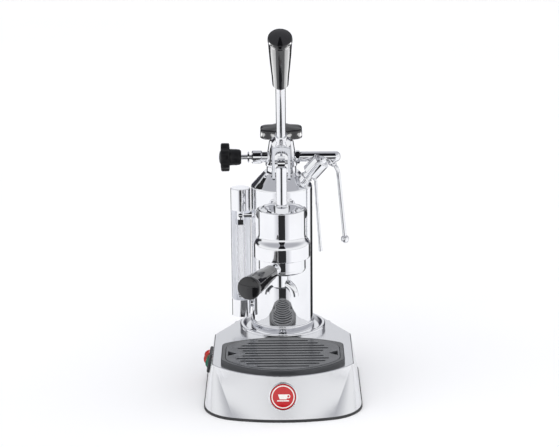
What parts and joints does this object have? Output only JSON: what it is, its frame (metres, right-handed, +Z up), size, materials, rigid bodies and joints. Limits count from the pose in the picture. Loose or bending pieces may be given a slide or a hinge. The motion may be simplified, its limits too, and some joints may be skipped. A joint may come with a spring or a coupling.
{
  "type": "lever espresso machine",
  "caption": "Manual lever espresso machine: chromed boiler column with group, portafilter, steam wand, sight glass and lever on a sloped base with drip tray.",
  "frame": {"origin": "middle of the base on the plane of the table, half way between the front and back of the rubber edging", "axes": "+X to the user's right, +Y away from the user (boiler behind the group), +Z up"},
  "size_m": [0.2032, 0.346, 0.4935],
  "materials": {
    "rubber_black": "matt black rubber edging",
    "satin_steel": "satin silver-grey pressed steel",
    "zinc_steel": "bright zinc plated steel",
    "tray_black": "dark grey moulded plastic, satin",
    "chrome": "polished chrome plate",
    "steel": "ground steel",
    "brass": "turned brass",
    "red_enamel": "gloss red enamel",
    "white_enamel": "gloss white enamel",
    "black_plastic": "black moulded plastic",
    "red_rocker": "translucent red plastic",
    "green_rocker": "translucent green plastic",
    "ceramic": "glazed white insulator",
    "phenolic_black": "gloss black phenolic moulding",
    "grey_plastic": "grey moulded cap",
    "seal_rubber": "dark seal rubber",
    "clear_glass": "clear borosilicate glass"
  },
  "bodies": {
    "machine": {"badge_bezel": "chrome", "badge_disc": "red_enamel", "badge_inlay": "white_enamel", "base_edging": "rubber_black", "base_plate": "zinc_steel", "base_shell": "satin_steel", "boiler_flange": "chrome", "boiler_shell": "chrome", "boiler_stub": "chrome", "cord_gland": "black_plastic", "cylinder_sleeve": "steel", "discharge_tip": "chrome", "discharge_tube": "chrome", "fulcrum_pin": "steel", "gauge_glass": "clear_glass", "gauge_guard": "chrome", "gland_nut": "chrome", "group_body": "chrome", "group_bolts": "chrome", "group_seal": "seal_rubber", "heating_element": "steel", "joint_gasket": "seal_rubber", "lock_ring": "brass", "lower_fitting": "chrome", "neck_casting": "chrome", "pipe_nut": "chrome", "plate_screws": "zinc_steel", "relief_poppet": "steel", "safety_body": "chrome", "safety_cap": "chrome", "shower_screen": "steel", "steam_pipe": "chrome", "switch_housing": "black_plastic", "terminal_block": "ceramic", "upper_fitting": "chrome", "valve_body": "chrome"},
    "lever": {"lever_fork": "chrome", "lever_rod": "chrome", "lever_grip": "phenolic_black", "piston_pin": "steel"},
    "piston": {"piston": "brass", "piston_seals": "seal_rubber", "piston_rod": "chrome"},
    "portafilter": {"portafilter_body": "chrome", "filter_basket": "steel", "spout": "chrome", "handle_ferrule": "chrome", "handle_grip": "phenolic_black"},
    "cap_plug": {"cap_plug": "brass", "cap_seal": "seal_rubber"},
    "cap_knob": {"cap_knob": "phenolic_black"},
    "steam_knob": {"steam_knob": "phenolic_black", "knob_button": "grey_plastic", "valve_stem": "chrome"},
    "wand": {"steam_wand": "chrome", "wand_tip": "chrome"},
    "tray": {"drip_tray": "tray_black"},
    "grate": {"drip_grate": "tray_black"},
    "rocker_red": {"rocker_red": "red_rocker"},
    "rocker_green": {"rocker_green": "green_rocker"}
  },
  "joints": [
    {"name": "lever_swing", "type": "hinge", "parent": "machine", "child": "lever", "pos_m": [0, -0.02, 0.284], "axis": [1, 0, 0], "range_deg": [0, 79]},
    {"name": "piston_stroke", "type": "slide", "parent": "machine", "child": "piston", "axis": [0, 0, -1], "range_m": [0, 0.0325]},
    {"name": "portafilter_turn", "type": "hinge", "parent": "machine", "child": "portafilter", "pos_m": [0, -0.041, 0.173], "axis": [0, 0, 1], "range_deg": [-45, 0]},
    {"name": "cap_lift", "type": "slide", "parent": "machine", "child": "cap_plug", "axis": [0, 0, 1], "range_m": [0, 0.006]},
    {"name": "cap_turn", "type": "hinge", "parent": "cap_plug", "child": "cap_knob", "pos_m": [0, 0.061, 0.315], "axis": [0, 0, 1], "range_deg": [0, 1081]},
    {"name": "steam_turn", "type": "hinge", "parent": "machine", "child": "steam_knob", "pos_m": [-0.06, 0.061, 0.2883], "axis": [-1, 0, 0], "range_deg": [0, 540]},
    {"name": "wand_swing", "type": "hinge", "parent": "machine", "child": "wand", "pos_m": [0.06, 0.061, 0.2883], "axis": [0.62, -0.3, -0.725], "range_deg": [-50, 60]},
    {"name": "tray_lift", "type": "slide", "parent": "machine", "child": "tray", "axis": [0, 0, 1], "range_m": [0, 0.04]},
    {"name": "grate_lift", "type": "slide", "parent": "tray", "child": "grate", "axis": [0, 0, 1], "range_m": [0, 0.028]},
    {"name": "red_switch", "type": "hinge", "parent": "machine", "child": "rocker_red", "pos_m": [-0.09465, 0.0014, 0.03427], "axis": [0, 1, 0], "range_deg": [0, 20]},
    {"name": "green_switch", "type": "hinge", "parent": "machine", "child": "rocker_green", "pos_m": [-0.0919, -0.0134, 0.03373], "axis": [0, 1, 0], "range_deg": [0, 20]}
  ],
  "couplings": [
    {"joint": "piston_stroke", "follows": "lever_swing", "m_per_rad": 0.023506},
    {"joint": "cap_turn", "follows": "cap_lift", "rad_per_m": 3141.6}
  ]
}
